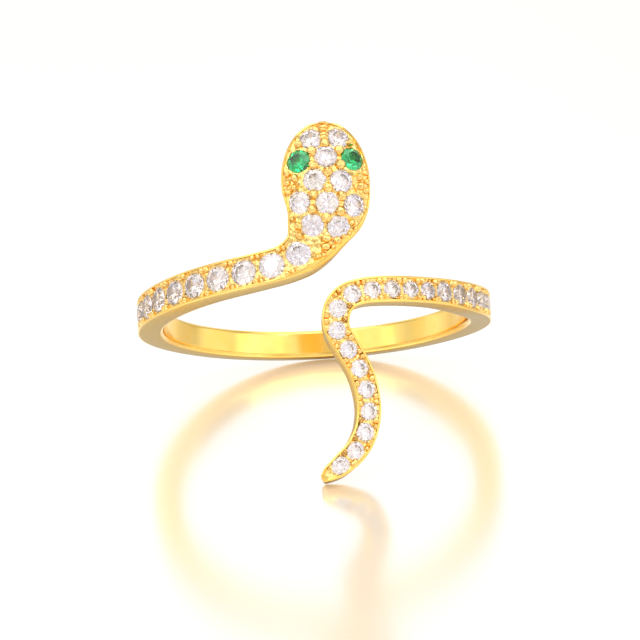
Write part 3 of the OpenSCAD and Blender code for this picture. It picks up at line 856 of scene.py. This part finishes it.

# The bright-cut seats under the stones: thin plating, painted pale as painted light
# that lifts the shade inside the seats, with tool rings too fine to show drawn 0.1 mm apart
tool_ring = 0.1 * MM
seat_gold_painted_light, shader = new_material("pale_gold_plate_bright_cut_painted_light")
shader.inputs["Metallic"].default_value = 1.0
shader.inputs["Roughness"].default_value = 0.2
place = add_node(seat_gold_painted_light, "ShaderNodeTexCoord")
rings = add_node(
    seat_gold_painted_light, "ShaderNodeTexNoise", {"Scale": 1 / tool_ring, "Detail": 1.0},
    {"Vector": place.outputs["Object"]},
)
tone = add_node(seat_gold_painted_light, "ShaderNodeValToRGB", links={"Fac": rings.outputs["Fac"]})
# painted light: near-white colours lighten the shaded seats under the stones
tone.color_ramp.elements[0].color = linear("#FBE9C0")
tone.color_ramp.elements[1].color = linear("#FFF4DA")
seat_gold_painted_light.node_tree.links.new(tone.outputs["Color"], shader.inputs["Base Color"])


def as_object(name, shape):
    """A mesh object of a finished shape, in millimetres in the ring's own frame."""
    mesh = bpy.data.meshes.new(name)
    shape.to_mesh(mesh)
    shape.free()
    for finish in (polished_gold, set_gold, satin_gold_painted_shade, seat_gold_painted_light):
        mesh.materials.append(finish)
    made = bpy.data.objects.new(name, mesh)
    bpy.context.scene.collection.objects.link(made)
    return made


def cut_away(piece, cutter):
    """Cuts the seats out of a piece for good."""
    cut = piece.modifiers.new("seats", "BOOLEAN")
    cut.operation = "DIFFERENCE"
    cut.solver = "MANIFOLD"
    cut.object = cutter
    now = bpy.context.evaluated_depsgraph_get()
    drawn = bpy.data.meshes.new_from_object(piece.evaluated_get(now))
    piece.modifiers.clear()
    piece.data = drawn


sharp_edge = math.radians(38)
snake = as_object("cast_snake_band", band)
bead_work = as_object("beads", beads)
burs = as_object("burs", seats)
cut_away(snake, burs)
cut_away(bead_work, burs)
casting = bmesh.new()
casting.from_mesh(snake.data)
casting.from_mesh(bead_work.data)
casting.transform(Matrix.Scale(MM, 4) @ at_rest)
casting.to_mesh(snake.data)
casting.free()
for spare in (bead_work, burs):
    bpy.data.objects.remove(spare)
snake.data.polygons.foreach_set("use_smooth", [True] * len(snake.data.polygons))
snake.data.set_sharp_from_angle(angle=sharp_edge)
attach(snake, "root")
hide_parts("snake_band")

# The clear stones: cubic zirconia, cut and polished by machine as round
# brilliants and held in their seats by the beads round them. Their fire is
# painted: faint lavender and peach tints in patches about 0.6 mm across. A weak
# peach glow stands for the light that is still inside when the render stops following it
painted_fire_patch = 0.6 * MM
zirconia, shader = new_material("cubic_zirconia_clear")
shader.inputs["Roughness"].default_value = 0.0
shader.inputs["IOR"].default_value = 2.17
shader.inputs["Transmission Weight"].default_value = 1.0
shader.inputs["Emission Color"].default_value = linear("#FFE4CC")
shader.inputs["Emission Strength"].default_value = 0.032
place = add_node(zirconia, "ShaderNodeTexCoord")
painted_fire = add_node(
    zirconia, "ShaderNodeTexNoise", {"Scale": 1 / painted_fire_patch, "Detail": 1.0},
    {"Vector": place.outputs["Object"]},
)
tone = add_node(zirconia, "ShaderNodeValToRGB", links={"Fac": painted_fire.outputs["Fac"]})
# painted fire: lavender and peach tints stand in for the coloured light that the stones split
tone.color_ramp.elements[0].color = linear("#E6E0EE")
tone.color_ramp.elements[1].color = linear("#F1E6DC")
tone.color_ramp.elements[0].position = 0.4
tone.color_ramp.elements[1].position = 0.6
zirconia.node_tree.links.new(tone.outputs["Color"], shader.inputs["Base Color"])

# The eyes: the same cut in a stone of emerald green, deeper in patches about
# 0.4 mm across
green_patch = 0.4 * MM
emerald, shader = new_material("emerald_green_stone")
shader.inputs["Roughness"].default_value = 0.0
shader.inputs["IOR"].default_value = 1.75
shader.inputs["Transmission Weight"].default_value = 1.0
place = add_node(emerald, "ShaderNodeTexCoord")
depth = add_node(
    emerald, "ShaderNodeTexNoise", {"Scale": 1 / green_patch, "Detail": 1.0},
    {"Vector": place.outputs["Object"]},
)
tone = add_node(emerald, "ShaderNodeValToRGB", links={"Fac": depth.outputs["Fac"]})
tone.color_ramp.elements[0].color = linear("#04A850")
tone.color_ramp.elements[1].color = linear("#36D686")
tone.color_ramp.elements[0].position = 0.4
tone.color_ramp.elements[1].position = 0.6
emerald.node_tree.links.new(tone.outputs["Color"], shader.inputs["Base Color"])

for name, node in frame["nodes"].items():
    if name.endswith("_eye"):
        node.material_slots[0].material = emerald
    elif "stone" in name:
        node.material_slots[0].material = zirconia

# The table and the light: a glossy, translucent white board in a white tent.
# Warm light from under the board keeps its shadows pale; soft boxes stand to
# the left, to the right and above, with three small lamps for the sparkle
floor_side = 3.0
floor_shape = bmesh.new()
bmesh.ops.create_grid(floor_shape, x_segments=1, y_segments=1, size=floor_side / 2)
bmesh.ops.translate(floor_shape, verts=floor_shape.verts, vec=(0, 0, cad_low.z))
floor_mesh = bpy.data.meshes.new("table")
floor_shape.to_mesh(floor_mesh)
floor_shape.free()
table = bpy.data.objects.new("table", floor_mesh)
bpy.context.scene.collection.objects.link(table)
board, shader = new_material("white_gloss_board")
shader.inputs["Base Color"].default_value = linear("#B6B6B6")
shader.inputs["Roughness"].default_value = 0.3
shader.inputs["Emission Color"].default_value = linear("#FFECD0")
shader.inputs["Emission Strength"].default_value = 0.54
board_nodes = board.node_tree
gloss = board_nodes.nodes.new("ShaderNodeBsdfGlossy")
gloss.inputs["Color"].default_value = linear("#F4F4F4")
gloss.inputs["Roughness"].default_value = 0.19
blend_shaders = board_nodes.nodes.new("ShaderNodeMixShader")
blend_shaders.inputs["Fac"].default_value = 0.6
output = board_nodes.nodes["Material Output"]
board_nodes.links.new(shader.outputs["BSDF"], blend_shaders.inputs[1])
board_nodes.links.new(gloss.outputs["BSDF"], blend_shaders.inputs[2])
board_nodes.links.new(blend_shaders.outputs["Shader"], output.inputs["Surface"])
floor_mesh.materials.append(board)

# The tent's cloth gives between 0.64 and 1.22 times the light of a plain white
# sheet, in soft folds
DIM_FOLD = 0.64
BRIGHT_FOLD = 1.22
world = bpy.data.worlds.new("white_tent")
world.use_nodes = True
place = add_node(world, "ShaderNodeTexCoord")
folds = add_node(
    world, "ShaderNodeTexNoise", {"Scale": 1.8, "Detail": 1.0, "Roughness": 0.4},
    {"Vector": place.outputs["Generated"]},
)
tone = add_node(world, "ShaderNodeValToRGB", links={"Fac": folds.outputs["Fac"]})
tone.color_ramp.elements[0].color = (DIM_FOLD, DIM_FOLD, DIM_FOLD, 1)
tone.color_ramp.elements[1].color = (BRIGHT_FOLD, BRIGHT_FOLD, BRIGHT_FOLD, 1)
tone.color_ramp.elements[0].position = 0.38
tone.color_ramp.elements[1].position = 0.62
world.node_tree.links.new(tone.outputs["Color"], world.node_tree.nodes["Background"].inputs["Color"])
bpy.context.scene.world = world

# Lamps that face the ring: name, place, width, height, and brightness as a
# multiple of a plain white sheet's
LAMPS = [
    ("left_box", (-0.32, -0.22, 0.28), 0.3, 0.3, 0.5),
    ("right_box", (0.32, -0.22, 0.28), 0.3, 0.3, 0.5),
    ("top_box", (0.0, 0.0, 0.45), 0.6, 0.5, 1.2),
    ("left_spark", (-0.2, -0.3, 0.33), 0.06, 0.06, 7.0),
    ("right_spark", (0.22, -0.28, 0.36), 0.06, 0.06, 7.0),
    ("front_spark", (0.03, -0.35, 0.4), 0.06, 0.06, 7.0),
]
for name, stand, width, height, brightness in LAMPS:
    light = bpy.data.lights.new(name, "AREA")
    light.shape = "RECTANGLE"
    light.size = width
    light.size_y = height
    light.energy = brightness * width * height * math.pi
    lamp = bpy.data.objects.new(name, light)
    bpy.context.scene.collection.objects.link(lamp)
    lamp.location = stand
    lamp.rotation_euler = (-Vector(stand)).to_track_quat("-Z", "Y").to_euler()

# The camera: a long lens 200 mm from the middle of the finger hole, 12 degrees
# below the plane of the ring, which is 18 degrees above the table
camera_away = 0.2
below_ring = math.radians(12.2)
roll = math.radians(2.9)
shift_right = 0.345 * MM
shift_down = 0.429 * MM
lens_mm = 195.68
back = Vector((0, -math.cos(below_ring), -math.sin(below_ring)))
right = Vector((1, 0, 0))
up = back.cross(right)
turned_right = math.cos(roll) * right - math.sin(roll) * up
turned_up = math.sin(roll) * right + math.cos(roll) * up
stand = camera_away * back + shift_right * turned_right - shift_down * turned_up
camera_data = bpy.data.cameras.new("camera")
camera_data.lens = lens_mm
camera_data.sensor_width = 36
camera_data.clip_start = 0.01
camera = bpy.data.objects.new("camera", camera_data)
bpy.context.scene.collection.objects.link(camera)
facing = Matrix((turned_right, turned_up, back)).transposed().to_4x4()
camera.matrix_world = at_rest @ Matrix.Translation(stand) @ facing
bpy.context.scene.camera = camera
bpy.context.scene.view_settings.view_transform = "Standard"
